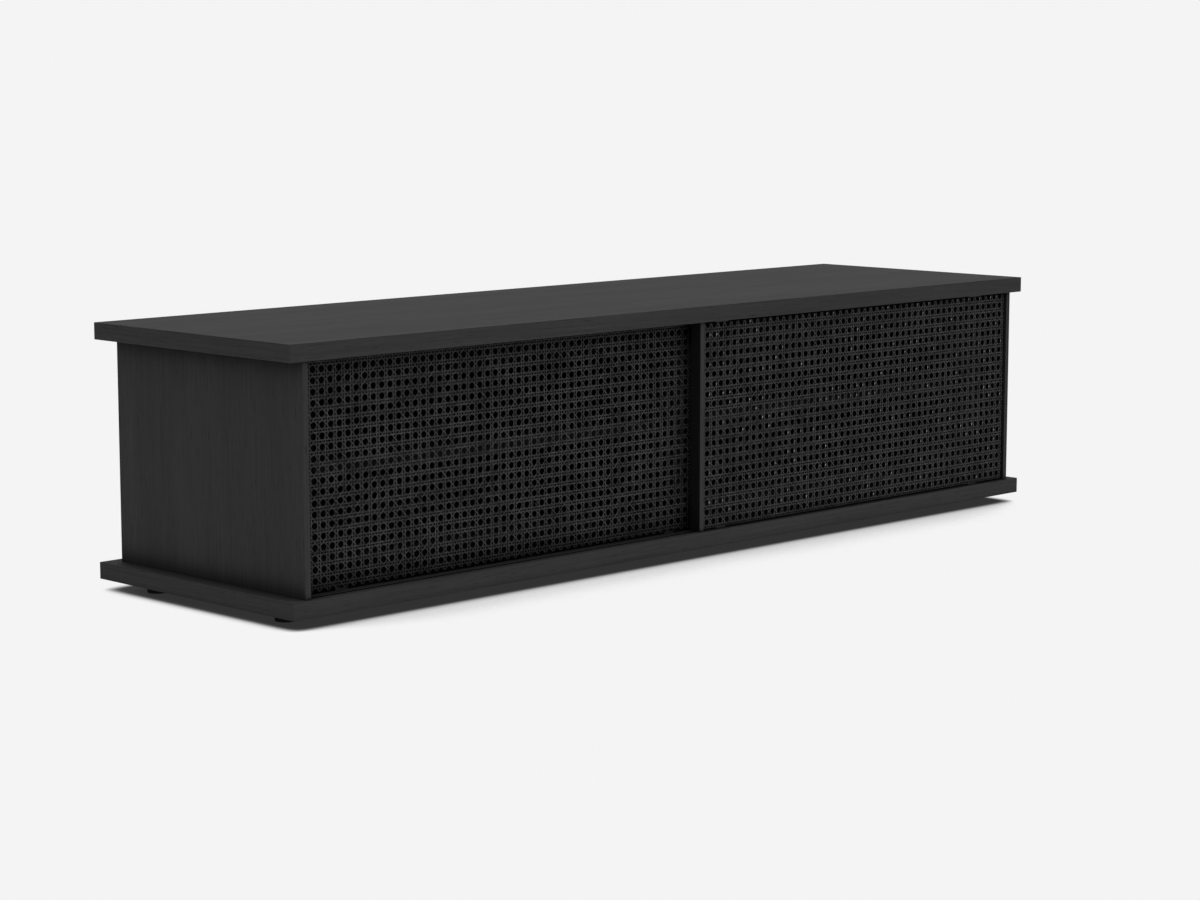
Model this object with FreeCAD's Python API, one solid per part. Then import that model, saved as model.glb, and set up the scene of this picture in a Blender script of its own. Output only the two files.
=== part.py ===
import FreeCAD, Part
import os

# Low media cabinet: two overhanging slabs, a carcass between them and two sliding cane doors.
# Millimetres. The origin is on the floor, under the middle of the slabs.
# +X runs to the viewer's right, -Y is the front with the doors, +Z is up.

# Slabs and carcass
unit_width = 1620.0
unit_depth = 450.0
slab_thickness = 25.0
clear_height = 327.0
side_overhang = 25.0
front_setback = 5.0
rear_setback = 20.0
side_thickness = 19.0
lip_width = 9.3
divider_thickness = 18.0
back_thickness = 6.0
back_rebate = 10.0
board_play = 0.5
edge_round = 0.8

# Least part of an edge's direction along an axis for it to count as running that way
along_share = 0.5

# Cable ways
grommet_radius = 30.0
grommet_wall = 3.0
grommet_flange = 5.0
grommet_flange_thickness = 2.0
grommet_drop = 43.0
notch_depth = 60.0
notch_height = 45.0

# Shelves on pins
shelf_thickness = 18.0
shelf_setback = 40.0
shelf_rear_air = 40.0
shelf_end_play = 1.5
pin_radius = 2.5
pin_grip = 9.0
pin_reach = 8.0
pin_height = 150.0
pin_step = 32.0
pin_rows_each_way = 1
pin_inset = 40.0
pin_hole_end_air = 1.0

# Feet
foot_height = 16.0
foot_radius = 16.0
foot_round = 1.5
foot_side_inset = 48.0
foot_front_inset = 77.0
foot_screw_radius = 2.5
foot_screw_grip = 14.0
foot_screw_head_radius = 5.0
foot_screw_head_height = 3.0
foot_screw_recess = 6.0

# Knock-down joints between the slabs and the upright boards
cam_radius = 7.5
cam_depth = 12.5
cam_edge_distance = 24.0
cam_inset = 45.0
bolt_radius = 3.0
bolt_grip = 12.0
dowel_radius = 4.0
dowel_in_board = 23.0
dowel_in_slab = 12.0
dowel_offset = 32.0
bore_play = 0.1

# Screws of the back panels
back_screw_radius = 1.75
back_screw_grip = 14.0
back_screw_head_radius = 3.5
back_screw_head_height = 1.8
back_screw_inset = 40.0
back_screw_slot = 0.9
back_screw_slot_depth = 0.9
back_screw_slot_reach = 1.75

# Doors
door_depth = 20.0
door_spacing = 3.0
door_rear_air = 3.0
rail_air = 3.0
stile_air = 0.8
meeting_stile_width = 9.2
meeting_overlap = 20.0
outer_stile_width = 28.0
rail_height = 34.0
cane_recess = 3.0
cane_thickness = 2.0
cane_columns = 12
cane_rows = 4
cane_bar = 26.0
cane_corner = 11.0
corner_dowel_radius = 3.0
corner_dowel_in_stile = 6.0
corner_dowel_in_rail = 24.0
corner_dowel_spacing = 17.0
stop_radius = 4.0
stop_thickness = 2.5
stop_air = 0.5

# Tracks, rollers and guides
track_wall = 1.0
track_floor = 1.5
track_play = 0.5
lower_track_depth = 8.0
upper_track_depth = 12.0
roller_radius = 12.0
roller_width = 3.3
roller_side_play = 0.35
roller_floor_air = 0.3
roller_housing_air = 1.0
axle_radius = 1.5
axle_play = 0.05
housing_cheek = 1.0
housing_end_wall = 3.0
housing_roof = 1.2
housing_margin = 8.0
mortise_wall = 1.3
mortise_play = 0.1
guide_length = 30.0
guide_seat = 14.0
guide_tongue = 3.3
guide_tongue_round = 1.1
guide_top_air = 2.5

# Depth positions, front to back
slab_front = -unit_depth / 2
slab_rear = unit_depth / 2
panel_front = slab_front + front_setback
panel_rear = slab_rear - rear_setback
front_door_face = panel_front
rear_door_face = front_door_face + door_depth + door_spacing
carcass_front = rear_door_face + door_depth + door_rear_air
carcass_rear = panel_rear - back_thickness

# Heights
base_top = foot_height + slab_thickness
top_low = base_top + clear_height
unit_height = top_low + slab_thickness

# Width positions
panel_outer = unit_width / 2 - side_overhang
panel_inner = panel_outer - side_thickness
lip_inner = panel_outer - lip_width
door_end = lip_inner - stop_thickness - stop_air
half_divider = divider_thickness / 2

# Roller plane, measured from a door's front face
housing_width = roller_width + 2 * (roller_side_play + housing_cheek)
housing_length = 2 * (roller_radius + roller_housing_air + housing_end_wall)
track_plane = cane_recess + cane_thickness + mortise_wall + mortise_play + housing_width / 2
axle_z = base_top - lower_track_depth + track_floor + roller_floor_air + roller_radius

# Shelf and cable positions
shelf_low = base_top + pin_height + pin_radius
shelf_front = carcass_front + shelf_setback
shelf_rear = carcass_rear - shelf_rear_air
grommet_z = top_low - grommet_drop
grommet_x = (panel_inner + half_divider) / 2


def box(x_pair, y_pair, z_pair):
    """Upright block between two values on each axis, given in any order."""
    low = FreeCAD.Vector(min(x_pair), min(y_pair), min(z_pair))
    high = FreeCAD.Vector(max(x_pair), max(y_pair), max(z_pair))
    size = high - low
    return Part.makeBox(size.x, size.y, size.z, low)


def rod(radius, start, end):
    """Round bar from one point to another."""
    start = FreeCAD.Vector(*start)
    run = FreeCAD.Vector(*end) - start
    return Part.makeCylinder(radius, run.Length, start, run)


def soften(shape, radius, picks):
    """Round every straight edge whose middle and direction picks() accepts."""
    edges = []
    for edge in shape.Edges:
        ends = [vertex.Point for vertex in edge.Vertexes]
        if picks((ends[0] + ends[1]) / 2, (ends[1] - ends[0]).normalize()):
            edges.append(edge)
    return shape.makeFillet(radius, edges)


def save(name, *solids):
    """Write one node, made of one solid or of several like solids."""
    shape = solids[0] if len(solids) == 1 else Part.makeCompound(list(solids))
    shape.exportStep(os.path.join("parts", name + ".step"))


def track_section(centre_y, inner_width, mouth_z, floor_z):
    """Straight U channel across the cabinet, with its groove as a plain block."""
    half_outer = inner_width / 2 + track_wall
    inside_z = floor_z + track_floor if floor_z < mouth_z else floor_z - track_floor
    length = (-lip_inner, lip_inner)
    groove = box(length, (centre_y - half_outer, centre_y + half_outer), (floor_z, mouth_z))
    hollow = box(length, (centre_y - inner_width / 2, centre_y + inner_width / 2), (inside_z, mouth_z))
    return groove, groove.cut(hollow)


def slab(z_pair):
    """Overhanging slab with softened edges."""
    shape = box((-unit_width / 2, unit_width / 2), (slab_front, slab_rear), z_pair)
    return soften(shape, edge_round, lambda middle, along: True)


def knock_down_set(board_x, cam_face_x, edge_z, up):
    """Cams, bolts and dowels that hold one edge of an upright board to a slab."""
    rows = ((carcass_front + cam_inset, 1), (carcass_rear - cam_inset, -1))
    cam_z = edge_z - up * cam_edge_distance
    cam_back_x = cam_face_x + (cam_depth if board_x > cam_face_x else -cam_depth)
    cams, bolts, dowels, cuts = [], [], [], []
    for row_y, inward in rows:
        bolt_ends = (board_x, row_y, cam_z), (board_x, row_y, edge_z + up * bolt_grip)
        bolt_bore = rod(bolt_radius + bore_play, *bolt_ends)
        cam_ends = (cam_face_x, row_y, cam_z), (cam_back_x, row_y, cam_z)
        cams.append(rod(cam_radius, *cam_ends).cut(bolt_bore))
        bolts.append(rod(bolt_radius, *bolt_ends))
        dowel_y = row_y + inward * dowel_offset
        dowel_low = (board_x, dowel_y, edge_z - up * dowel_in_board)
        dowel_high = (board_x, dowel_y, edge_z + up * dowel_in_slab)
        dowels.append(rod(dowel_radius, dowel_low, dowel_high))
        cuts += [bolt_bore, rod(cam_radius + bore_play, *cam_ends)]
        cuts.append(rod(dowel_radius + bore_play, dowel_low, dowel_high))
    return cams, bolts, dowels, cuts


def shelf_pin_rows(face_x, outward):
    """Pins in use and all pin holes on one face of an upright board."""
    pins, holes = [], []
    for row_y in (shelf_front + pin_inset, shelf_rear - pin_inset):
        for row in range(-pin_rows_each_way, pin_rows_each_way + 1):
            z = base_top + pin_height + row * pin_step
            deep_x = face_x - outward * (pin_grip + pin_hole_end_air)
            holes.append(rod(pin_radius + bore_play, (deep_x, row_y, z), (face_x, row_y, z)))
        z = base_top + pin_height
        start = (face_x - outward * pin_grip, row_y, z)
        pins.append(rod(pin_radius, start, (face_x + outward * pin_reach, row_y, z)))
    return pins, holes


def back_screw_column(x):
    """Screws that hold the back panels to one upright board, with their bores."""
    screws, bores = [], []
    heights = (base_top + back_screw_inset, (base_top + top_low) / 2, top_low - back_screw_inset)
    for z in heights:
        tip = (x, carcass_rear - back_screw_grip, z)
        head_y = panel_rear + back_screw_head_height
        shank = rod(back_screw_radius, tip, (x, panel_rear, z))
        head = rod(back_screw_head_radius, (x, panel_rear, z), (x, head_y, z))
        slot_y = (head_y - back_screw_slot_depth, head_y)
        reach = back_screw_slot_reach
        half_slot = back_screw_slot / 2
        cross = box((x - reach, x + reach), slot_y, (z - half_slot, z + half_slot))
        cross = cross.fuse(box((x - half_slot, x + half_slot), slot_y, (z - reach, z + reach)))
        screws.append(shank.fuse(head).removeSplitter().cut(cross))
        bores.append(rod(back_screw_radius + bore_play, tip, (x, panel_rear, z)))
    return screws, bores


def side_panel(side):
    """Upright end board with a rebate for the doors and one for the back panel."""
    x_inner = side * panel_inner
    heights = (base_top, top_low)
    shape = box((x_inner, side * panel_outer), (panel_front, panel_rear), heights)
    shape = soften(shape, edge_round,
                   lambda middle, along: abs(along.z) > along_share
                   and abs(middle.x) > panel_inner + board_play)
    door_rebate = box((x_inner, side * lip_inner), (panel_front, carcass_front), heights)
    rear_rebate = box((x_inner, side * (panel_inner + back_rebate)), (carcass_rear, panel_rear), heights)
    return shape.cut([door_rebate, rear_rebate])


def divider():
    """Middle board with a cable notch at its lower rear corner."""
    shape = box((-half_divider, half_divider), (carcass_front, carcass_rear), (base_top, top_low))
    notch_y = (carcass_rear - notch_depth, carcass_rear)
    return shape.cut(box((-half_divider, half_divider), notch_y, (base_top, base_top + notch_height)))


def back_panel(side):
    """Thin back board of one compartment, with its cable hole."""
    x_pair = (side * board_play / 2, side * (panel_inner + back_rebate - board_play))
    shape = box(x_pair, (carcass_rear, panel_rear), (base_top, top_low))
    x = side * grommet_x
    return shape.cut(rod(grommet_radius, (x, carcass_rear, grommet_z), (x, panel_rear, grommet_z)))


def cable_grommet(side):
    """Flanged ring in the cable hole, put in from the rear."""
    x = side * grommet_x
    flange_y = panel_rear + grommet_flange_thickness
    sleeve = rod(grommet_radius - bore_play, (x, carcass_rear, grommet_z), (x, panel_rear, grommet_z))
    flange = rod(grommet_radius + grommet_flange, (x, panel_rear, grommet_z), (x, flange_y, grommet_z))
    bore = rod(grommet_radius - grommet_wall, (x, carcass_rear, grommet_z), (x, flange_y, grommet_z))
    return sleeve.fuse(flange).cut(bore).removeSplitter()


def shelf(side):
    """Loose shelf that lies on four pins."""
    x_pair = (side * (half_divider + shelf_end_play), side * (panel_inner - shelf_end_play))
    shape = box(x_pair, (shelf_front, shelf_rear), (shelf_low, shelf_low + shelf_thickness))
    return soften(shape, edge_round,
                  lambda middle, along: abs(along.x) > along_share and middle.y < shelf_front + board_play)


def foot(x, y):
    """Round glide with its screw, and the screw's bore."""
    body = Part.makeCylinder(foot_radius, foot_height, FreeCAD.Vector(x, y, 0))
    rims = [edge for edge in body.Edges if edge.BoundBox.ZMax < foot_round]
    body = body.makeFillet(foot_round, rims)
    recess = rod(foot_screw_head_radius + board_play, (x, y, 0), (x, y, foot_screw_recess))
    head_low = foot_screw_recess - foot_screw_head_height
    tip = (x, y, foot_height + foot_screw_grip)
    bore = rod(foot_screw_radius + bore_play, (x, y, foot_screw_recess), tip)
    shank = rod(foot_screw_radius, (x, y, foot_screw_recess), tip)
    head = rod(foot_screw_head_radius, (x, y, head_low), (x, y, foot_screw_recess))
    return body.cut([recess, bore]), shank.fuse(head).removeSplitter(), bore


def roller_set(x, plane_y, door_low):
    """Roller, its axle and its housing, with the housing's mortise."""
    half_width = housing_width / 2
    half_length = housing_length / 2
    roof_z = axle_z + roller_radius + roller_housing_air + housing_roof
    x_pair = (x - half_length, x + half_length)
    housing = box(x_pair, (plane_y - half_width, plane_y + half_width), (door_low, roof_z))
    half_slot = roller_width / 2 + roller_side_play
    slot_x = (x - half_length + housing_end_wall, x + half_length - housing_end_wall)
    slot = box(slot_x, (plane_y - half_slot, plane_y + half_slot), (door_low, roof_z - housing_roof))
    axle_ends = (x, plane_y - half_width, axle_z), (x, plane_y + half_width, axle_z)
    axle = rod(axle_radius, *axle_ends)
    housing = housing.cut([slot, axle])
    tread_ends = (x, plane_y - roller_width / 2, axle_z), (x, plane_y + roller_width / 2, axle_z)
    roller = rod(roller_radius, *tread_ends).cut(rod(axle_radius + axle_play, *tread_ends))
    mortise_half = half_width + mortise_play
    mortise_x = (x_pair[0] - mortise_play, x_pair[1] + mortise_play)
    mortise = box(mortise_x, (plane_y - mortise_half, plane_y + mortise_half), (door_low, roof_z))
    return roller, axle, housing, mortise


def top_guide(x, plane_y, door_high):
    """Guide block let into the top rail, with a tongue that runs in the upper track."""
    half_length = guide_length / 2
    half_width = housing_width / 2
    seat_z = (door_high - guide_seat, door_high)
    seat = box((x - half_length, x + half_length), (plane_y - half_width, plane_y + half_width), seat_z)
    tongue_z = (door_high, top_low + upper_track_depth - track_floor - guide_top_air)
    tongue_y = (plane_y - guide_tongue / 2, plane_y + guide_tongue / 2)
    tongue = box((x - half_length, x + half_length), tongue_y, tongue_z)
    tongue = soften(tongue, guide_tongue_round, lambda middle, along: abs(along.z) > along_share)
    mortise_half = half_width + mortise_play
    mortise_x = (x - half_length - mortise_play, x + half_length + mortise_play)
    mortise = box(mortise_x, (plane_y - mortise_half, plane_y + mortise_half), seat_z)
    return seat.fuse(tongue).removeSplitter(), mortise


def cane_sheet(stile_x, outer_x, end_x, y_pair, z_pair):
    """Cane across one door: inside the frame, coarse eight-sided openings stand for those of the weave."""
    column_pitch = abs(outer_x - stile_x) / cane_columns
    row_pitch = (z_pair[1] - z_pair[0] - 2 * rail_height) / cane_rows
    openings = []
    for column in range(cane_columns):
        x = min(stile_x, outer_x) + column * column_pitch
        for row in range(cane_rows):
            z = z_pair[0] + rail_height + row * row_pitch
            opening = box((x + cane_bar / 2, x + column_pitch - cane_bar / 2), y_pair,
                          (z + cane_bar / 2, z + row_pitch - cane_bar / 2))
            corners = [edge for edge in opening.Edges if edge.BoundBox.YLength > cane_thickness / 2]
            openings.append(opening.makeChamfer(cane_corner, corners))
    return box((stile_x, end_x), y_pair, z_pair).cut(openings)


def build_door(name, face_y, meeting_x, end_x):
    """One sliding door: a frame with cane across its front, on two rollers."""
    outward = 1 if end_x > meeting_x else -1
    back_y = face_y + door_depth
    cane_y = face_y + cane_recess
    rail_y = (cane_y + cane_thickness, back_y)
    rail_middle = (rail_y[0] + rail_y[1]) / 2
    plane_y = face_y + track_plane
    door_low = base_top + rail_air
    door_high = top_low - rail_air
    stile_x = meeting_x + outward * meeting_stile_width
    outer_x = end_x - outward * outer_stile_width

    meeting_stile = box((meeting_x, stile_x), (face_y, back_y), (base_top + stile_air, top_low - stile_air))
    meeting_stile = soften(meeting_stile, edge_round,
                           lambda middle, along: abs(along.z) > along_share and middle.y < cane_y)
    outer_stile = box((outer_x, end_x), rail_y, (door_low, door_high))
    bottom_rail = box((stile_x, outer_x), rail_y, (door_low, door_low + rail_height))
    top_rail = box((stile_x, outer_x), rail_y, (door_high - rail_height, door_high))
    cane = cane_sheet(stile_x, outer_x, end_x, (cane_y, cane_y + cane_thickness), (door_low, door_high))

    dowels, bores = [], []
    for rail_z in (door_low + rail_height / 2, door_high - rail_height / 2):
        for z in (rail_z - corner_dowel_spacing / 2, rail_z + corner_dowel_spacing / 2):
            for joint_x, into_rail in ((stile_x, outward), (outer_x, -outward)):
                start = (joint_x - into_rail * corner_dowel_in_stile, rail_middle, z)
                end = (joint_x + into_rail * corner_dowel_in_rail, rail_middle, z)
                dowels.append(rod(corner_dowel_radius, start, end))
                bores.append(rod(corner_dowel_radius + bore_play, start, end))

    hardware_inset = corner_dowel_in_rail + housing_margin + housing_length / 2
    axles, rail_cuts = [], []
    for number, x in enumerate((stile_x + outward * hardware_inset, outer_x - outward * hardware_inset), 1):
        roller, axle, housing, mortise = roller_set(x, plane_y, door_low)
        guide, guide_mortise = top_guide(x, plane_y, door_high)
        axles.append(axle)
        rail_cuts += [mortise, guide_mortise]
        save(f"{name}_roller_{number}", roller)
        save(f"{name}_roller_housing_{number}", housing)
        save(f"{name}_top_guide_{number}", guide)

    save(f"{name}_meeting_stile", meeting_stile.cut(bores))
    save(f"{name}_outer_stile", outer_stile.cut(bores))
    save(f"{name}_bottom_rail", bottom_rail.cut(bores + rail_cuts))
    save(f"{name}_top_rail", top_rail.cut(bores + rail_cuts))
    save(f"{name}_cane_panel", cane)
    save(f"{name}_roller_axles", *axles)
    save(f"{name}_corner_dowels", *dowels)


def build_carcass():
    """Slabs, upright boards, shelves, tracks and feet, with their fasteners."""
    cams, bolts, dowels, pins, back_screws, foot_screws = [], [], [], [], [], []
    board_cuts = []
    slab_cuts = []
    boards = ((panel_inner + side_thickness / 2, panel_inner),
              (-panel_inner - side_thickness / 2, -panel_inner),
              (0.0, half_divider))
    for board_x, cam_face_x in boards:
        for edge_z, up in ((base_top, -1), (top_low, 1)):
            new_cams, new_bolts, new_dowels, cuts = knock_down_set(board_x, cam_face_x, edge_z, up)
            cams += new_cams
            bolts += new_bolts
            dowels += new_dowels
            board_cuts += cuts
            slab_cuts += cuts
    pin_faces = ((-panel_inner, 1), (-half_divider, -1), (half_divider, 1), (panel_inner, -1))
    for face_x, outward in pin_faces:
        new_pins, holes = shelf_pin_rows(face_x, outward)
        pins += new_pins
        board_cuts += holes
    side_screw_x = panel_inner + back_rebate / 2
    for x in (-side_screw_x, -half_divider / 2, half_divider / 2, side_screw_x):
        new_screws, bores = back_screw_column(x)
        back_screws += new_screws
        board_cuts += bores

    for place, face_y in (("front", front_door_face), ("rear", rear_door_face)):
        plane_y = face_y + track_plane
        lower_groove, lower_track = track_section(plane_y, roller_width + 2 * track_play,
                                                  base_top, base_top - lower_track_depth)
        upper_groove, upper_track = track_section(plane_y, guide_tongue + 2 * track_play,
                                                  top_low, top_low + upper_track_depth)
        slab_cuts += [lower_groove, upper_groove]
        save(f"lower_track_{place}", lower_track)
        save(f"upper_track_{place}", upper_track)

    foot_x = unit_width / 2 - foot_side_inset
    foot_y = unit_depth / 2 - foot_front_inset
    for depth_name, y in (("front", -foot_y), ("rear", foot_y)):
        for width_name, x in (("left", -foot_x), ("middle", 0.0), ("right", foot_x)):
            body, screw, bore = foot(x, y)
            foot_screws.append(screw)
            slab_cuts.append(bore)
            save(f"foot_{depth_name}_{width_name}", body)

    save("base_panel", slab((foot_height, base_top)).cut(slab_cuts))
    save("top_panel", slab((top_low, unit_height)).cut(slab_cuts))
    save("centre_divider", divider().cut(board_cuts))
    for side, name in ((-1, "left"), (1, "right")):
        save(f"side_panel_{name}", side_panel(side).cut(board_cuts))
        save(f"back_panel_{name}", back_panel(side).cut(board_cuts))
        save(f"cable_grommet_{name}", cable_grommet(side))
        save(f"shelf_{name}", shelf(side))

    stops = []
    stop_z = (base_top + top_low) / 2
    for face_y in (front_door_face, rear_door_face):
        y = face_y + (cane_recess + cane_thickness + door_depth) / 2
        for side in (-1, 1):
            start = (side * lip_inner, y, stop_z)
            stops.append(rod(stop_radius, start, (side * (lip_inner - stop_thickness), y, stop_z)))
    save("door_stops", *stops)
    save("cam_housings", *cams)
    save("cam_bolts", *bolts)
    save("carcass_dowels", *dowels)
    save("shelf_pins", *pins)
    save("back_screws", *back_screws)
    save("foot_screws", *foot_screws)


os.makedirs("parts", exist_ok=True)
build_carcass()
build_door("left_door", rear_door_face, meeting_overlap, -door_end)
build_door("right_door", front_door_face, 0.0, door_end)
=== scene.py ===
import math

import bpy
from bpy.props import FloatProperty, FloatVectorProperty, PointerProperty
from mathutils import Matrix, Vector


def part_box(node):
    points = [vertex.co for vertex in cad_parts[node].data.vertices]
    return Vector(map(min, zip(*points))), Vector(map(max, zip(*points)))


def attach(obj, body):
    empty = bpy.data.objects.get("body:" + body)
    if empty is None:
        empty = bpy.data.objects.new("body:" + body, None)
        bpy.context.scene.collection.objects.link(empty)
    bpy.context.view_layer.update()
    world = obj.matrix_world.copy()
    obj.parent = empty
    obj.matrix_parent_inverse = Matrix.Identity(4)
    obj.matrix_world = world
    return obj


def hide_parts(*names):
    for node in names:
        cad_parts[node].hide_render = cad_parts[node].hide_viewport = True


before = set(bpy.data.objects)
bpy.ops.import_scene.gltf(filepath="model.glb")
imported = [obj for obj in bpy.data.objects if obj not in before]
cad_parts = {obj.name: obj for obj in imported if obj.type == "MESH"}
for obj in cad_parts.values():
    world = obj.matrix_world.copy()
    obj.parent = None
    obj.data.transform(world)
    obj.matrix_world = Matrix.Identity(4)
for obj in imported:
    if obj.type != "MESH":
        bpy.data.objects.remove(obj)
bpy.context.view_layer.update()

bl_info = {
    "name": "TV Unit with Cane Doors",
    "version": (1, 0, 0),
    "blender": (4, 5, 0),
    "location": "3D View > Sidebar > TV Unit",
    "description": "Finishes a low black TV unit with sliding cane doors, and sets it on a pale stage",
    "category": "Object",
}

MM = 0.001
QUARTER_TURN = math.radians(90)

# Painted shade: a colour is darkened where other surfaces close in within this reach, down to this
# share of its colour.
SHADE_PAINT_REACH = 40 * MM
SHADE_PAINT_SHARE = 0.25
SHADE_PAINT_SAMPLES = 8

# The most that a normal may lean to an axis for its face to count as lying along that axis
MOST_LEAN = 0.3

# Numbers of a Mix node's sockets, which share their names between vectors and colours
FACTOR, VECTOR_A, VECTOR_B, COLOUR_A, COLOUR_B = 0, 4, 5, 6, 7
MIXED_VECTOR, MIXED_COLOUR = 1, 2


def linear(hex_colour):
    """Linear RGBA of an sRGB hex colour."""
    channels = []
    for start in (1, 3, 5):
        value = int(hex_colour[start:start + 2], 16) / 255
        channels.append(value / 12.92 if value <= 0.04045 else ((value + 0.055) / 1.055) ** 2.4)
    return (*channels, 1.0)


class WoodSettings(bpy.types.PropertyGroup):
    """Black stain and grain of the boards"""

    stain_dark: FloatVectorProperty(
        name="Dark Stain", description="Stain on the dense late wood",
        subtype='COLOR', size=4, min=0.0, max=1.0, default=linear("#272727"))
    stain_light: FloatVectorProperty(
        name="Light Stain", description="Stain on the open early wood",
        subtype='COLOR', size=4, min=0.0, max=1.0, default=linear("#2F2F2F"))
    pore_colour: FloatVectorProperty(
        name="Pores", description="Stain gathered in the open pores",
        subtype='COLOR', size=4, min=0.0, max=1.0, default=linear("#1B1B1B"))
    # Painted shade: this near-black colour on the stile edges stands in for the deep shade in the
    # recess beside them
    edge_shade: FloatVectorProperty(
        name="Edge Shade", description="Matt paint on the edges of the meeting stiles",
        subtype='COLOR', size=4, min=0.0, max=1.0, default=linear("#141414"))
    streak_width: FloatProperty(
        name="Streak Width", description="Width of one streak across the grain",
        unit='LENGTH', default=2.6 * MM)
    streak_length: FloatProperty(
        name="Streak Length", description="Length of one streak along the grain",
        unit='LENGTH', default=140 * MM)


class CaneSettings(bpy.types.PropertyGroup):
    """Weave and lacquer of the cane in the doors"""

    pitch: FloatProperty(
        name="Pitch", description="Distance between neighbouring holes",
        unit='LENGTH', default=15.435 * MM)
    strand_width: FloatProperty(
        name="Strand Width", description="Width of an upright or crossing strand",
        unit='LENGTH', default=1.8 * MM)
    diagonal_width: FloatProperty(
        name="Diagonal Width", description="Width of a diagonal strand",
        unit='LENGTH', default=1.7 * MM)
    strand_thickness: FloatProperty(
        name="Strand Thickness", description="Thickness of every strand",
        unit='LENGTH', default=0.42 * MM)
    pair_offset: FloatProperty(
        name="Pair Offset", description="Distance of a strand from the middle of its pair",
        unit='LENGTH', default=2.15 * MM)
    pair_swing: FloatProperty(
        name="Pair Swing", description="How far upright and crossing strands swing in and out",
        unit='LENGTH', default=0.22 * MM)
    diagonal_swing: FloatProperty(
        name="Diagonal Swing", description="How far diagonal strands swing in and out",
        unit='LENGTH', default=0.45 * MM)
    wander: FloatProperty(
        name="Wander", description="How far strands stray from their straight lines",
        unit='LENGTH', default=0.5 * MM)
    wander_size: FloatProperty(
        name="Wander Size", description="Length over which the straying changes",
        unit='LENGTH', default=14 * MM)
    left_hole: FloatVectorProperty(
        name="Left Door Hole",
        description="Centre of one hole, from the lower left corner of the left cane",
        unit='LENGTH', size=2, default=(11.25 * MM, 14.9 * MM))
    right_hole: FloatVectorProperty(
        name="Right Door Hole",
        description="Centre of one hole, from the lower left corner of the right cane",
        unit='LENGTH', size=2, default=(10.6 * MM, 10.0 * MM))
    lacquer_dark: FloatVectorProperty(
        name="Dark Lacquer", description="Darkest strands",
        subtype='COLOR', size=4, min=0.0, max=1.0, default=linear("#121212"))
    lacquer_light: FloatVectorProperty(
        name="Light Lacquer", description="Lightest strands",
        subtype='COLOR', size=4, min=0.0, max=1.0, default=linear("#3C3C3C"))
    # A pale colour painted as glints on the right door's cane, where highlights fall
    glint_colour: FloatVectorProperty(
        name="Painted Glints", description="Cane that shows where the lacquer is chipped",
        subtype='COLOR', size=4, min=0.0, max=1.0, default=linear("#908E8A"))


class StageSettings(bpy.types.PropertyGroup):
    """Floor, light and camera"""

    floor_colour: FloatVectorProperty(
        name="Floor", description="Colour of the floor and of the background",
        subtype='COLOR', size=4, min=0.0, max=1.0, default=linear("#F4F4F4"))
    contact_reach: FloatProperty(
        name="Contact Shadow", description="How far the shadow close to the unit reaches",
        unit='LENGTH', default=130 * MM)
    shadow_reach: FloatProperty(
        name="Cast Shadow", description="How far the soft shadow to the front reaches",
        unit='LENGTH', default=450 * MM)
    ceiling_strength: FloatProperty(
        name="Ceiling", description="Soft light from straight overhead", min=0.0, default=2.5)
    bounce_strength: FloatProperty(
        name="Floor Bounce", description="Light that the pale floor throws back", min=0.0, default=1.95)
    front_share: FloatProperty(
        name="Front Share", description="How much more light comes from the front than from the sides",
        subtype='FACTOR', min=0.0, max=1.0, default=0.6)
    camera_place: FloatVectorProperty(
        name="Camera Place", description="Where the camera stands",
        subtype='TRANSLATION', default=(-3.1804, -3.1812, 0.7804))
    camera_tilt: FloatProperty(
        name="Camera Tilt", description="Turn of the camera up from straight down",
        subtype='ANGLE', default=math.radians(82))
    camera_turn: FloatProperty(
        name="Camera Turn", description="Turn of the camera about the upright axis",
        subtype='ANGLE', default=math.radians(-45))
    lens: FloatProperty(
        name="Lens", description="Focal length on a 36 mm wide sensor", unit='CAMERA', default=85.0)


def add_node(tree, kind, sockets, **settings):
    """Add a node, give it its settings, and set or link the input sockets named."""
    node = tree.nodes.new(kind)
    for name, value in settings.items():
        setattr(node, name, value)
    for name, value in sockets.items():
        if isinstance(value, bpy.types.NodeSocket):
            tree.links.new(value, node.inputs[name])
        else:
            node.inputs[name].default_value = value
    return node


def new_material(name):
    """A new material, its node tree, its shader, and the coordinates of the object that has it."""
    material = bpy.data.materials.new(name)
    material.use_nodes = True
    tree = material.node_tree
    tree.nodes.clear()
    shader = add_node(tree, "ShaderNodeBsdfPrincipled", {})
    add_node(tree, "ShaderNodeOutputMaterial", {"Surface": shader.outputs["BSDF"]})
    place = add_node(tree, "ShaderNodeTexCoord", {}).outputs["Object"]
    return material, tree, shader, place


def faces_along(tree, axis):
    """1 on the faces that lie along an axis, and 0 on those that look along it."""
    normal = add_node(tree, "ShaderNodeNewGeometry", {}).outputs["Normal"]
    lean = add_node(tree, "ShaderNodeSeparateXYZ", {"Vector": normal}).outputs[axis]
    return add_node(tree, "ShaderNodeMath", {0: lean, 1: 0.0, 2: MOST_LEAN},
                    operation='COMPARE').outputs[0]


def paint_corner_shade(tree, colour, shut, clear):
    """A colour with painted shade: darkened from where a face is clear of others to where they shut it
    in.
    """
    corners = add_node(tree, "ShaderNodeAmbientOcclusion", {"Distance": SHADE_PAINT_REACH},
                       samples=SHADE_PAINT_SAMPLES)
    share = add_node(tree, "ShaderNodeMapRange",
                     {"Value": corners.outputs["AO"], "From Min": shut, "From Max": clear,
                      "To Min": SHADE_PAINT_SHARE})
    return add_node(tree, "ShaderNodeMix",
                    {FACTOR: 1.0, COLOUR_A: colour, COLOUR_B: share.outputs[0]},
                    data_type='RGBA', blend_type='MULTIPLY').outputs[MIXED_COLOUR]


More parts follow.
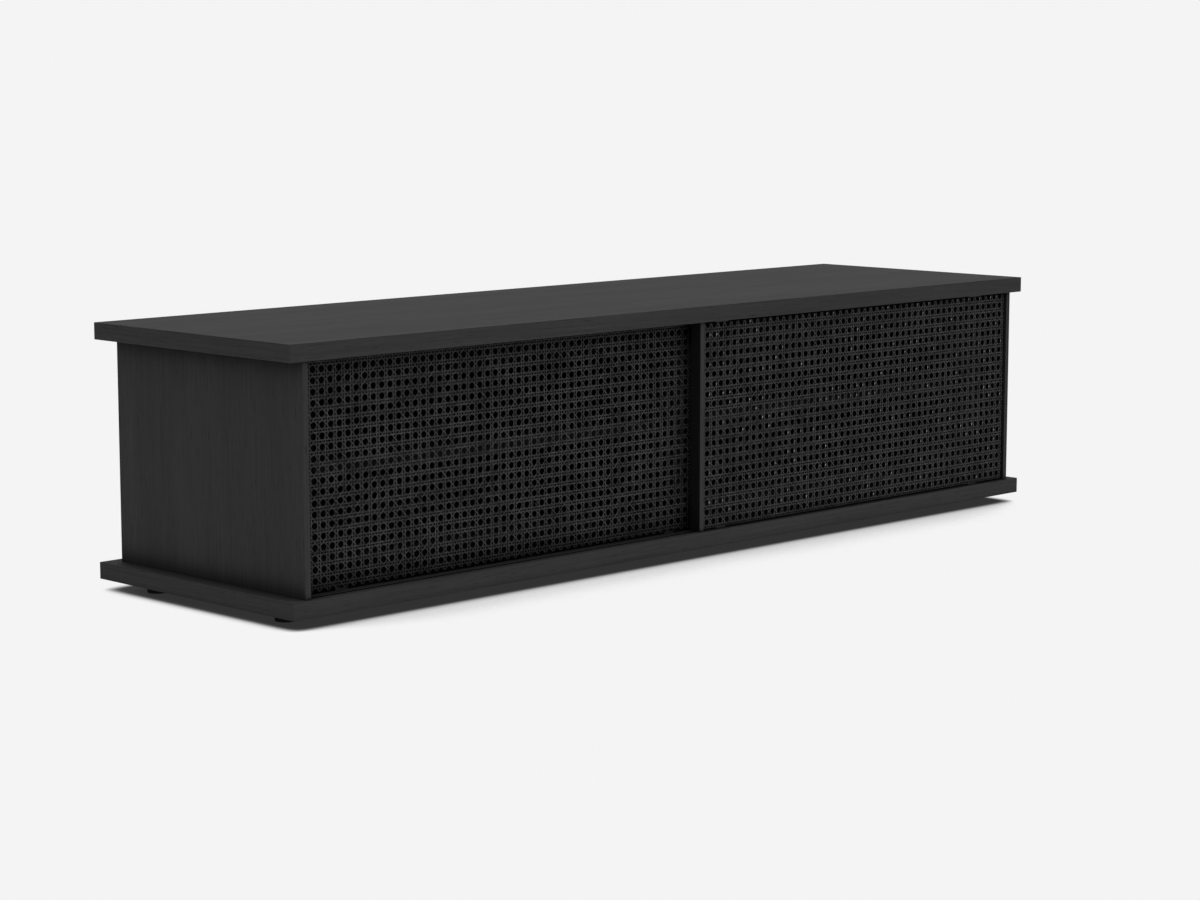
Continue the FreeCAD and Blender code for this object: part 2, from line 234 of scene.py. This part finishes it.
# Patterns in ash veneer, by their length along the grain and width across it. Its pores are 0.2 mm
# wide, and are drawn wider so that they show.
ASH_FIGURE = (700 * MM, 38 * MM)
ASH_PORES = (26 * MM, 1.3 * MM)
ASH_GLOSS = 0.1
EDGE_SHADE_GLOSS = 0.01


def stained_ash(name, wood, turn, banded_ends=False, shaded_edges=False):
    """Ash veneer, stained black and oiled: fine streaks along the grain, dark pores, a satin sheen."""
    material, tree, shader, place = new_material(name)
    run = add_node(tree, "ShaderNodeMapping", {"Vector": place, "Rotation": turn},
                   vector_type='TEXTURE').outputs["Vector"]
    if banded_ends:
        # The edge band on a board's ends has its grain along the edge.
        band = add_node(tree, "ShaderNodeMapping",
                        {"Vector": place, "Rotation": (0, 0, QUARTER_TURN)}, vector_type='TEXTURE')
        run = add_node(tree, "ShaderNodeMix",
                       {FACTOR: faces_along(tree, "X"), VECTOR_A: band.outputs["Vector"],
                        VECTOR_B: run}, data_type='VECTOR').outputs[MIXED_VECTOR]
    patterns = []
    for length, width in ((wood.streak_length, wood.streak_width), ASH_FIGURE, ASH_PORES):
        cells = add_node(tree, "ShaderNodeMapping", {"Vector": run, "Scale": (length, width, width)},
                         vector_type='TEXTURE')
        noise = add_node(tree, "ShaderNodeTexNoise",
                         {"Vector": cells.outputs["Vector"], "Scale": 1.0, "Detail": 3.0,
                          "Roughness": 0.6})
        patterns.append(noise.outputs["Fac"])
    streaks, figure, pore_noise = patterns
    tone = add_node(tree, "ShaderNodeMath", {0: figure, 1: 0.6, 2: streaks}, operation='MULTIPLY_ADD')
    tone = add_node(tree, "ShaderNodeMapRange",
                    {"Value": tone.outputs[0], "From Min": 0.55, "From Max": 1.05}).outputs[0]
    pores = add_node(tree, "ShaderNodeMapRange",
                     {"Value": pore_noise, "From Min": 0.58, "From Max": 0.7}).outputs[0]
    colour = add_node(tree, "ShaderNodeMix",
                      {FACTOR: tone, COLOUR_A: wood.stain_dark, COLOUR_B: wood.stain_light},
                      data_type='RGBA').outputs[MIXED_COLOUR]
    colour = add_node(tree, "ShaderNodeMix",
                      {FACTOR: pores, COLOUR_A: colour, COLOUR_B: wood.pore_colour},
                      data_type='RGBA').outputs[MIXED_COLOUR]
    # Painted shade: the colour darkens in inside corners and recesses, where shade falls.
    colour = paint_corner_shade(tree, colour, shut=0.5, clear=0.9)
    shader.inputs["Specular IOR Level"].default_value = ASH_GLOSS
    if shaded_edges:
        # Painted shade: the edges get a near-black colour and almost no gloss for the deep shade beside
        # the meeting stiles; only the broad faces show the veneer.
        edges = faces_along(tree, "Y")
        colour = add_node(tree, "ShaderNodeMix",
                          {FACTOR: edges, COLOUR_A: colour, COLOUR_B: wood.edge_shade},
                          data_type='RGBA').outputs[MIXED_COLOUR]
        gloss = add_node(tree, "ShaderNodeMapRange",
                         {"Value": edges, "To Min": ASH_GLOSS, "To Max": EDGE_SHADE_GLOSS})
        tree.links.new(gloss.outputs[0], shader.inputs["Specular IOR Level"])
    tree.links.new(colour, shader.inputs["Base Color"])
    sheen = add_node(tree, "ShaderNodeMapRange", {"Value": tone, "To Min": 0.84, "To Max": 0.76})
    tree.links.new(sheen.outputs[0], shader.inputs["Roughness"])
    relief = add_node(tree, "ShaderNodeMath", {0: streaks, 1: pores}, operation='SUBTRACT')
    bump = add_node(tree, "ShaderNodeBump",
                    {"Height": relief.outputs[0], "Strength": 0.25, "Distance": 0.1 * MM})
    tree.links.new(bump.outputs["Normal"], shader.inputs["Normal"])
    return material


# Patterns in split rattan, by their length along a strand and width across it: the tone of each
# strand, its fibres, and patches over several strands. The fibres are 0.2 mm wide, and are drawn wider
# so that they show.
CANE_STRANDS = (30 * MM, 3.5 * MM)
CANE_FIBRES = (30 * MM, 0.7 * MM)
CANE_PATCHES = (45 * MM, 45 * MM)
CANE_GLOSS = 0.12

# The place of a painted glint from the middle of its hole, and half its size, both in pitches
GLINT_MIDDLE = {"X": 0.34, "Z": -0.03}
GLINT_HALF_SIZE = {"X": 0.06, "Z": 0.1}
# The share of holes that have no painted glint
UNGLINTED_SHARE = 0.78


def paint_hole_glints(tree, colour, place, cane, hole):
    """A colour with painted glints: pale spots painted right of some holes on the upright, where
    highlights fall.
    """
    cell = add_node(tree, "ShaderNodeMapping",
                    {"Vector": place, "Location": hole, "Scale": (cane.pitch, 1, cane.pitch)},
                    vector_type='TEXTURE').outputs["Vector"]
    number = add_node(tree, "ShaderNodeVectorMath", {0: cell, 1: (0.5, 0.5, 0.5)}, operation='ADD')
    number = add_node(tree, "ShaderNodeVectorMath", {0: number.outputs[0]},
                      operation='FLOOR').outputs[0]
    luck = add_node(tree, "ShaderNodeTexWhiteNoise", {"Vector": number}).outputs["Value"]
    glint = add_node(tree, "ShaderNodeMapRange", {"Value": luck, "From Min": UNGLINTED_SHARE}).outputs[0]
    within = add_node(tree, "ShaderNodeVectorMath", {0: cell, 1: number}, operation='SUBTRACT')
    within = add_node(tree, "ShaderNodeSeparateXYZ", {"Vector": within.outputs[0]})
    for axis in ("X", "Z"):
        inside = add_node(tree, "ShaderNodeMath",
                          {0: within.outputs[axis], 1: GLINT_MIDDLE[axis], 2: GLINT_HALF_SIZE[axis]},
                          operation='COMPARE')
        glint = add_node(tree, "ShaderNodeMath", {0: glint, 1: inside.outputs[0]},
                        operation='MULTIPLY').outputs[0]
    return add_node(tree, "ShaderNodeMix",
                    {FACTOR: glint, COLOUR_A: colour, COLOUR_B: cane.glint_colour},
                    data_type='RGBA').outputs[MIXED_COLOUR]


def lacquered_cane(name, cane, turn, glint_hole=None):
    """Split rattan, lacquered black: strands of their own tones, fibres along them and a soft gloss."""
    material, tree, shader, place = new_material(name)
    patterns = []
    for length, width in (CANE_STRANDS, CANE_FIBRES, CANE_PATCHES):
        run = add_node(tree, "ShaderNodeMapping",
                       {"Vector": place, "Rotation": turn, "Scale": (length, width, width)},
                       vector_type='TEXTURE').outputs["Vector"]
        noise = add_node(tree, "ShaderNodeTexNoise", {"Vector": run, "Scale": 1.0, "Detail": 2.0})
        patterns.append(noise.outputs["Fac"])
    strand_tone, fibres, patches = patterns
    tone = add_node(tree, "ShaderNodeMath", {0: fibres, 1: 0.5, 2: strand_tone},
                    operation='MULTIPLY_ADD')
    tone = add_node(tree, "ShaderNodeMath", {0: patches, 1: 0.7, 2: tone.outputs[0]},
                    operation='MULTIPLY_ADD')
    tone = add_node(tree, "ShaderNodeMapRange",
                    {"Value": tone.outputs[0], "From Min": 0.86, "From Max": 1.4}).outputs[0]
    colour = add_node(tree, "ShaderNodeMix",
                      {FACTOR: tone, COLOUR_A: cane.lacquer_dark, COLOUR_B: cane.lacquer_light},
                      data_type='RGBA').outputs[MIXED_COLOUR]
    # Painted shade: the colour darkens where strands cross and beside the stiles, where shade falls.
    colour = paint_corner_shade(tree, colour, shut=0.4, clear=0.85)
    # Painted glints: pale spots right of some holes
    if glint_hole:
        colour = paint_hole_glints(tree, colour, place, cane, glint_hole)
    tree.links.new(colour, shader.inputs["Base Color"])
    sheen = add_node(tree, "ShaderNodeMapRange", {"Value": fibres, "To Min": 0.45, "To Max": 0.65})
    tree.links.new(sheen.outputs[0], shader.inputs["Roughness"])
    bump = add_node(tree, "ShaderNodeBump", {"Height": fibres, "Strength": 0.2, "Distance": 0.05 * MM})
    tree.links.new(bump.outputs["Normal"], shader.inputs["Normal"])
    shader.inputs["Specular IOR Level"].default_value = CANE_GLOSS
    return material


def mottled(name, dark, light, size, roughness, relief=0.0, **sockets):
    """A finish whose colour, roughness and relief follow one noise.

    Real grit, fibres and tool lines are mostly finer than the noise's size, and are drawn that coarse
    so that they show.
    """
    material, tree, shader, place = new_material(name)
    cells = add_node(tree, "ShaderNodeMapping", {"Vector": place, "Scale": size}, vector_type='TEXTURE')
    noise = add_node(tree, "ShaderNodeTexNoise",
                     {"Vector": cells.outputs["Vector"], "Scale": 1.0, "Detail": 3.0}).outputs["Fac"]
    # Nearly all of the noise lies between these two values.
    tone = add_node(tree, "ShaderNodeMapRange", {"Value": noise, "From Min": 0.3, "From Max": 0.7})
    colour = add_node(tree, "ShaderNodeMix",
                      {FACTOR: tone.outputs[0], COLOUR_A: linear(dark), COLOUR_B: linear(light)},
                      data_type='RGBA')
    tree.links.new(colour.outputs[MIXED_COLOUR], shader.inputs["Base Color"])
    smoothest, roughest = roughness
    sheen = add_node(tree, "ShaderNodeMapRange",
                     {"Value": noise, "To Min": smoothest, "To Max": roughest})
    tree.links.new(sheen.outputs[0], shader.inputs["Roughness"])
    if relief:
        bump = add_node(tree, "ShaderNodeBump", {"Height": noise, "Strength": 0.5, "Distance": relief})
        tree.links.new(bump.outputs["Normal"], shader.inputs["Normal"])
    for socket, value in sockets.items():
        shader.inputs[socket.replace("_", " ")].default_value = value
    return material


def dress(material, *names):
    """Give CAD nodes one material."""
    for name in names:
        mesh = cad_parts[name].data
        mesh.materials.clear()
        mesh.materials.append(material)


class TVUNIT_OT_stain_slabs(bpy.types.Operator):
    """Stain the top and base slabs, with their grain along the unit"""

    bl_idname = "tv_unit.stain_slabs"
    bl_label = "Stain Slabs"

    def execute(self, context):
        wood = context.scene.tv_unit_wood
        dress(stained_ash("stained ash veneer, long grain", wood, (0, 0, 0), banded_ends=True),
              "top_panel", "base_panel")
        return {'FINISHED'}


class TVUNIT_OT_stain_uprights(bpy.types.Operator):
    """Stain the side panels and meeting stiles, with their grain upright"""

    bl_idname = "tv_unit.stain_uprights"
    bl_label = "Stain Uprights"

    def execute(self, context):
        wood = context.scene.tv_unit_wood
        upright = (0, -QUARTER_TURN, 0)
        dress(stained_ash("stained ash veneer, upright grain", wood, upright),
              "side_panel_left", "side_panel_right")
        dress(stained_ash("stained ash veneer, edges with painted shade", wood, upright, shaded_edges=True),
              "left_door_meeting_stile", "right_door_meeting_stile")
        return {'FINISHED'}


class TVUNIT_OT_line_inside(bpy.types.Operator):
    """Finish the divider, shelves and back panels"""

    bl_idname = "tv_unit.line_inside"
    bl_label = "Line Inside"

    def execute(self, context):
        # Melamine foil pressed on chipboard: near black, dull, with a faint embossed grain.
        foil = mottled("black melamine foil", "#121212", "#1A1A1A", (60 * MM, 1.2 * MM, 1.2 * MM),
                       (0.75, 0.9), 0.05 * MM, Specular_IOR_Level=0.02)
        dress(foil, "centre_divider", "shelf_left", "shelf_right")
        # Painted hardboard: pressed fibres give a flat, slightly cloudy black.
        hardboard = mottled("painted hardboard", "#202020", "#2C2C2C", (7 * MM, 7 * MM, 7 * MM),
                            (0.7, 0.85), 0.05 * MM, Specular_IOR_Level=0.12)
        dress(hardboard, "back_panel_left", "back_panel_right")
        return {'FINISHED'}


class TVUNIT_OT_paint_frames(bpy.types.Operator):
    """Colour the rails and outer stiles behind the cane near black, darker than real paint, as painted
    shade
    """

    bl_idname = "tv_unit.paint_frames"
    bl_label = "Paint Door Frames"

    def execute(self, context):
        # Black paint on ash, made darker than real matt paint as painted shade, so that the frame does
        # not show through the cane and its holes look like deep shade.
        frame_shade = mottled("near-black painted shade on ash", "#040404", "#060606", (3 * MM, 3 * MM, 3 * MM),
                        (0.85, 0.95), 0.03 * MM, Specular_IOR_Level=0.005)
        for door in ("left_door", "right_door"):
            dress(frame_shade, door + "_outer_stile", door + "_bottom_rail", door + "_top_rail")
        return {'FINISHED'}


class TVUNIT_OT_finish_tracks(bpy.types.Operator):
    """Anodise the door tracks"""

    bl_idname = "tv_unit.finish_tracks"
    bl_label = "Finish Tracks"

    def execute(self, context):
        # Extruded aluminium, anodised black: a dark satin metal with fine die lines along it.
        anodised = mottled("black anodised aluminium", "#0E0E0F", "#171718",
                           (200 * MM, 0.6 * MM, 0.6 * MM), (0.4, 0.55), Metallic=1.0)
        dress(anodised, *(f"{height}_track_{place}" for height in ("upper", "lower")
                          for place in ("front", "rear")))
        return {'FINISHED'}


class TVUNIT_OT_finish_feet(bpy.types.Operator):
    """Finish the feet"""

    bl_idname = "tv_unit.finish_feet"
    bl_label = "Finish Feet"

    def execute(self, context):
        # Moulded ABS: black with a fine spark-eroded grit.
        plastic = mottled("moulded black ABS", "#0A0A0A", "#101010", (1.2 * MM, 1.2 * MM, 1.2 * MM),
                          (0.7, 0.85), 0.05 * MM, Specular_IOR_Level=0.05)
        dress(plastic, *(f"foot_{depth}_{side}" for depth in ("front", "rear")
                         for side in ("left", "middle", "right")))
        return {'FINISHED'}


class TVUNIT_OT_finish_fittings(bpy.types.Operator):
    """Finish the rollers, guides, grommets, stops and fasteners"""

    bl_idname = "tv_unit.finish_fittings"
    bl_label = "Finish Fittings"

    def execute(self, context):
        doors = ("left_door", "right_door")
        # Moulded polypropylene: black, a little waxy.
        dress(mottled("moulded black polypropylene", "#141414", "#1B1B1B",
                      (1.5 * MM, 1.5 * MM, 1.5 * MM), (0.4, 0.55), 0.04 * MM),
              "cable_grommet_left", "cable_grommet_right",
              *(f"{door}_roller_housing_{number}" for door in doors for number in (1, 2)))
        # Turned black nylon: smooth, slightly glossy, with fine turning rings.
        dress(mottled("turned black nylon", "#161616", "#202020", (4 * MM, 0.5 * MM, 4 * MM),
                      (0.3, 0.45), 0.02 * MM),
              *(f"{door}_{part}_{number}" for door in doors for part in ("roller", "top_guide")
                for number in (1, 2)))
        # Moulded rubber: dull black.
        dress(mottled("moulded rubber", "#131313", "#181818", (1 * MM, 1 * MM, 1 * MM),
                      (0.75, 0.9), 0.03 * MM),
              "door_stops")
        # Die-cast zinc: a dull, cloudy grey metal.
        dress(mottled("die-cast zinc", "#9A9B9C", "#B0B1B2", (3 * MM, 3 * MM, 3 * MM),
                      (0.45, 0.6), 0.03 * MM, Metallic=1.0),
              "cam_housings")
        # Zinc-plated steel: a bright bluish metal with a light haze.
        dress(mottled("zinc-plated steel", "#B4B8BC", "#C9CCCF", (2 * MM, 2 * MM, 2 * MM),
                      (0.25, 0.4), Metallic=1.0),
              "cam_bolts", "back_screws", "foot_screws", "shelf_pins",
              *(door + "_roller_axles" for door in doors))
        # Raw beech: warm tan with short darker flecks.
        dress(mottled("raw beech", "#B98F66", "#CDA67C", (1 * MM, 1 * MM, 8 * MM),
                      (0.6, 0.7), 0.03 * MM),
              "carcass_dowels", *(door + "_corner_dowels" for door in doors))
        return {'FINISHED'}


# Corners around a strand
STRAND_CORNERS = 5
# Cells woven past each edge of a door's cane, before it is trimmed
SPARE_CELLS = 2
# Ends of strands that are closer than this are joined
MEETING_GAP = 0.01 * MM
# The sharpest fold that is shaded smooth
SMOOTH_FOLD = math.radians(50)
# Stations of a diagonal over one pitch: how far along, and on which face of the weave
DIAGONAL_STATIONS = ((0, -1), (0.19, -1), (0.31, 1), (0.69, 1), (0.81, -1), (1, -1))


def upright_strands(cane):
    """Two uprights of one pitch: each goes over one crossing strand and under the next."""
    half, offset, swing = cane.pitch / 2, cane.pair_offset, cane.pair_swing
    strands = []
    for side in (-1, 1):
        x = half + side * offset
        strands.append([(x, 0, -half), (x, side * swing, offset - half), (x, 0, 0),
                        (x, -side * swing, half - offset), (x, 0, half)])
    return strands


def crossing_strands(cane):
    """Two crossing strands of one pitch, woven the other way round from the uprights."""
    half, offset, swing = cane.pitch / 2, cane.pair_offset, cane.pair_swing
    strands = []
    for side in (-1, 1):
        z = side * (half - offset)
        strands.append([(0, 0, z), (half - offset, -side * swing, z), (half, 0, z),
                        (half + offset, side * swing, z), (2 * half, 0, z)])
    return strands


def diagonal_strands(cane, rise):
    """One diagonal of one pitch: falling ones go over the uprights, rising ones over the crossings."""
    strand = []
    for share, side in DIAGONAL_STATIONS:
        strand.append((share * cane.pitch, rise * side * cane.diagonal_swing,
                       rise * (share - 0.5) * cane.pitch))
    return [strand]


def lay_strand(stations, width, thickness, turn):
    """Draw a strand, flat behind and crowned in front, from station to station."""
    bpy.ops.mesh.primitive_circle_add(vertices=STRAND_CORNERS, radius=1.0, location=stations[0],
                                      rotation=(0, -turn, math.pi))
    bpy.ops.transform.resize(value=(1, thickness / 2, 1), center_override=stations[0])
    bpy.ops.transform.resize(value=(width / 2, 1, width / 2), center_override=stations[0])
    for start, end in zip(stations, stations[1:]):
        step = Vector(end) - Vector(start)
        bpy.ops.mesh.extrude_edges_move(TRANSFORM_OT_translate={"value": step})


def apply_modifier(piece, kind, **settings):
    """Add a modifier to a piece and apply it."""
    modifier = piece.modifiers.new(kind.title(), kind)
    for name, value in settings.items():
        setattr(modifier, name, value)
    bpy.ops.object.modifier_apply(modifier=modifier.name)


class TVUNIT_OT_weave_cane(bpy.types.Operator):
    """Weave the cane of both doors from uprights, crossing strands and two sets of diagonals"""

    bl_idname = "tv_unit.weave_cane"
    bl_label = "Weave Cane"

    def execute(self, context):
        cane = context.scene.tv_unit_cane
        wander = bpy.data.textures.new("cane wander", 'CLOUDS')
        wander.noise_scale = cane.wander_size
        families = (
            ("uprights", upright_strands(cane), cane.strand_width, 0.0),
            ("crossings", crossing_strands(cane), cane.strand_width, QUARTER_TURN),
            ("rising_diagonals", diagonal_strands(cane, 1), cane.diagonal_width, math.radians(45)),
            ("falling_diagonals", diagonal_strands(cane, -1), cane.diagonal_width, math.radians(135)),
        )
        for family, strands, width, turn in families:
            grain = (0, turn - QUARTER_TURN, 0)
            plain = lacquered_cane(f"lacquered cane, {family}", cane, grain)
            for door, hole in (("left_door", cane.left_hole), ("right_door", cane.right_hole)):
                piece = self.weave(cane, door, family, strands, width, turn, hole, wander)
                piece.data.materials.append(plain)
                if piece.name == "right_door_cane_uprights":
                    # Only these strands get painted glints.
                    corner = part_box(door + "_cane_panel")[0]
                    centre = (corner.x + hole[0], 0, corner.z + hole[1])
                    glinting = lacquered_cane("chipped lacquered cane", cane, grain, centre)
                    piece.data.materials[0] = glinting
                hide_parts(door + "_cane_panel")
                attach(piece, door)
        return {'FINISHED'}

    def weave(self, cane, door, family, strands, width, turn, hole, wander):
        """One family of strands across one door, trimmed to the door's cane."""
        low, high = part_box(door + "_cane_panel")
        spare = SPARE_CELLS * cane.pitch
        first = Vector((low.x + hole[0] % cane.pitch - spare, (low.y + high.y) / 2,
                        low.z + hole[1] % cane.pitch - spare))
        columns = math.ceil((high.x - low.x) / cane.pitch) + SPARE_CELLS + 1
        rows = math.ceil((high.z - low.z) / cane.pitch) + SPARE_CELLS + 1

        mesh = bpy.data.meshes.new(f"{door}_cane_{family}")
        piece = bpy.data.objects.new(mesh.name, mesh)
        bpy.context.collection.objects.link(piece)
        bpy.ops.object.select_all(action='DESELECT')
        piece.select_set(True)
        bpy.context.view_layer.objects.active = piece
        bpy.ops.object.mode_set(mode='EDIT')
        for stations in strands:
            bpy.ops.mesh.select_all(action='DESELECT')
            places = [first + Vector(station) for station in stations]
            lay_strand(places, width, cane.strand_thickness, turn)
        bpy.ops.object.mode_set(mode='OBJECT')

        for count, step in ((columns, (cane.pitch, 0, 0)), (rows, (0, 0, cane.pitch))):
            apply_modifier(piece, 'ARRAY', count=count, use_relative_offset=False,
                           use_constant_offset=True, constant_offset_displace=step)
        for direction in ('X', 'Z'):
            apply_modifier(piece, 'DISPLACE', texture=wander, texture_coords='LOCAL',
                           direction=direction, strength=cane.wander)

        bpy.ops.object.mode_set(mode='EDIT')
        bpy.ops.mesh.select_all(action='SELECT')
        bpy.ops.mesh.remove_doubles(threshold=MEETING_GAP)
        edges = ((low, (1, 0, 0)), (low, (0, 0, 1)), (high, (-1, 0, 0)), (high, (0, 0, -1)))
        for corner, inward in edges:
            bpy.ops.mesh.select_all(action='SELECT')
            bpy.ops.mesh.bisect(plane_co=corner, plane_no=inward, use_fill=True, clear_inner=True)
        bpy.ops.mesh.select_all(action='SELECT')
        bpy.ops.mesh.normals_make_consistent(inside=False)
        bpy.ops.object.mode_set(mode='OBJECT')
        bpy.ops.object.shade_smooth_by_angle(angle=SMOOTH_FOLD)
        return piece


# Heights of a direction, from -1 straight down to 1 straight up, between which each light rises from
# nothing to its full strength
CEILING_RISE = (0.16, 1.04)
BOUNCE_RISE = (-0.26, -0.52)

FLOOR_SIZE = 40.0
FLOOR_SAMPLES = 32
# How open the floor is to the room where each shadow is deepest and where it ends, and the light that
# is left in it
CONTACT_OPENING, CONTACT_LIGHT = (0.2, 0.64), 0.05
CAST_OPENING, CAST_LIGHT = (0.35, 0.43), 0.69
# The cast shadow looks this way for light, so that it falls to the front
CAST_WAY = {"X": -0.1, "Y": 0.8, "Z": 0.6}


class TVUNIT_OT_set_stage(bpy.types.Operator):
    """Lay the floor, light the unit and place the camera"""

    bl_idname = "tv_unit.set_stage"
    bl_label = "Set Stage"

    def execute(self, context):
        stage = context.scene.tv_unit_stage
        self.light(context.scene, stage)
        self.lay_floor(stage)
        self.place_camera(context.scene, stage)
        context.scene.view_settings.view_transform = 'Standard'
        return {'FINISHED'}

    def light(self, scene, stage):
        """Soft light from overhead and back from the floor, most of it from the front."""
        world = bpy.data.worlds.new("studio")
        scene.world = world
        world.use_nodes = True
        tree = world.node_tree
        tree.nodes.clear()
        way = add_node(tree, "ShaderNodeTexCoord", {}).outputs["Generated"]
        way = add_node(tree, "ShaderNodeSeparateXYZ", {"Vector": way})
        ceiling = add_node(tree, "ShaderNodeMapRange",
                           {"Value": way.outputs["Z"], "From Min": CEILING_RISE[0],
                            "From Max": CEILING_RISE[1], "To Max": stage.ceiling_strength})
        bounce = add_node(tree, "ShaderNodeMapRange",
                          {"Value": way.outputs["Z"], "From Min": BOUNCE_RISE[0],
                           "From Max": BOUNCE_RISE[1], "To Max": stage.bounce_strength})
        front = add_node(tree, "ShaderNodeMapRange",
                         {"Value": way.outputs["Y"], "From Min": -1.0, "To Min": 1 + stage.front_share,
                          "To Max": 1 - stage.front_share})
        level = add_node(tree, "ShaderNodeMath", {0: ceiling.outputs[0], 1: bounce.outputs[0]},
                         operation='ADD')
        level = add_node(tree, "ShaderNodeMath", {0: level.outputs[0], 1: front.outputs[0]},
                         operation='MULTIPLY')
        soft = add_node(tree, "ShaderNodeBackground",
                        {"Color": linear("#FFFFFF"), "Strength": level.outputs[0]})
        # The camera, and whatever mirrors or lets light through, sees the plain background.
        backdrop = add_node(tree, "ShaderNodeBackground",
                            {"Color": stage.floor_colour, "Strength": 1.0})
        path = add_node(tree, "ShaderNodeLightPath", {})
        seen = path.outputs["Is Camera Ray"]
        for ray in ("Is Glossy Ray", "Is Transmission Ray"):
            seen = add_node(tree, "ShaderNodeMath", {0: seen, 1: path.outputs[ray]},
                            operation='MAXIMUM').outputs[0]
        mix = add_node(tree, "ShaderNodeMixShader",
                       {0: seen, 1: soft.outputs[0], 2: backdrop.outputs[0]})
        add_node(tree, "ShaderNodeOutputWorld", {"Surface": mix.outputs[0]})

    def lay_floor(self, stage):
        """A pale floor that keeps the unit's shadow and meets the background without a line."""
        bpy.ops.object.select_all(action='DESELECT')
        bpy.ops.mesh.primitive_plane_add(size=FLOOR_SIZE)
        floor = bpy.context.object
        floor.name = "floor"
        # The light that it throws back comes from the world.
        floor.visible_diffuse = False
        material = bpy.data.materials.new("pale floor")
        material.use_nodes = True
        tree = material.node_tree
        tree.nodes.clear()
        # One shadow is close to the unit, and a softer one falls to the front.
        contact = add_node(tree, "ShaderNodeAmbientOcclusion", {"Distance": stage.contact_reach},
                           samples=FLOOR_SAMPLES)
        contact = add_node(tree, "ShaderNodeMapRange",
                           {"Value": contact.outputs["AO"], "From Min": CONTACT_OPENING[0],
                            "From Max": CONTACT_OPENING[1], "To Min": CONTACT_LIGHT})
        way = add_node(tree, "ShaderNodeCombineXYZ", CAST_WAY)
        cast = add_node(tree, "ShaderNodeAmbientOcclusion",
                        {"Distance": stage.shadow_reach, "Normal": way.outputs[0]},
                        samples=FLOOR_SAMPLES)
        cast = add_node(tree, "ShaderNodeMapRange",
                        {"Value": cast.outputs["AO"], "From Min": CAST_OPENING[0],
                         "From Max": CAST_OPENING[1], "To Min": CAST_LIGHT})
        shade = add_node(tree, "ShaderNodeMath", {0: contact.outputs[0], 1: cast.outputs[0]},
                         operation='MULTIPLY')
        shine = add_node(tree, "ShaderNodeEmission",
                         {"Color": stage.floor_colour, "Strength": shade.outputs[0]})
        add_node(tree, "ShaderNodeOutputMaterial", {"Surface": shine.outputs[0]})
        floor.data.materials.append(material)

    def place_camera(self, scene, stage):
        """The camera at the photograph's angle."""
        lens = bpy.data.cameras.new("camera")
        lens.lens = stage.lens
        lens.clip_end = 100.0
        camera = bpy.data.objects.new("camera", lens)
        camera.location = stage.camera_place
        camera.rotation_euler = (stage.camera_tilt, 0, stage.camera_turn)
        scene.collection.objects.link(camera)
        scene.camera = camera


operators = (
    TVUNIT_OT_stain_slabs,
    TVUNIT_OT_stain_uprights,
    TVUNIT_OT_line_inside,
    TVUNIT_OT_paint_frames,
    TVUNIT_OT_weave_cane,
    TVUNIT_OT_finish_tracks,
    TVUNIT_OT_finish_feet,
    TVUNIT_OT_finish_fittings,
    TVUNIT_OT_set_stage,
)


class TVUNIT_PT_sidebar(bpy.types.Panel):
    """The settings, and every step that finishes the unit, in order"""

    bl_label = "TV Unit"
    bl_space_type = 'VIEW_3D'
    bl_region_type = 'UI'
    bl_category = "TV Unit"

    def draw(self, context):
        for name, group in groups.items():
            box = self.layout.box()
            for setting in group.__annotations__:
                box.prop(getattr(context.scene, name), setting)
        for operator in operators:
            self.layout.operator(operator.bl_idname)


groups = {"tv_unit_wood": WoodSettings, "tv_unit_cane": CaneSettings, "tv_unit_stage": StageSettings}
classes = (*groups.values(), *operators, TVUNIT_PT_sidebar)


def register():
    for cls in classes:
        bpy.utils.register_class(cls)
    for name, group in groups.items():
        setattr(bpy.types.Scene, name, PointerProperty(type=group))


def unregister():
    for name in groups:
        delattr(bpy.types.Scene, name)
    for cls in reversed(classes):
        bpy.utils.unregister_class(cls)


def main():
    register()
    bpy.ops.tv_unit.stain_slabs()
    bpy.ops.tv_unit.stain_uprights()
    bpy.ops.tv_unit.line_inside()
    bpy.ops.tv_unit.paint_frames()
    bpy.ops.tv_unit.weave_cane()
    bpy.ops.tv_unit.finish_tracks()
    bpy.ops.tv_unit.finish_feet()
    bpy.ops.tv_unit.finish_fittings()
    bpy.ops.tv_unit.set_stage()


if __name__ == "__main__":
    main()
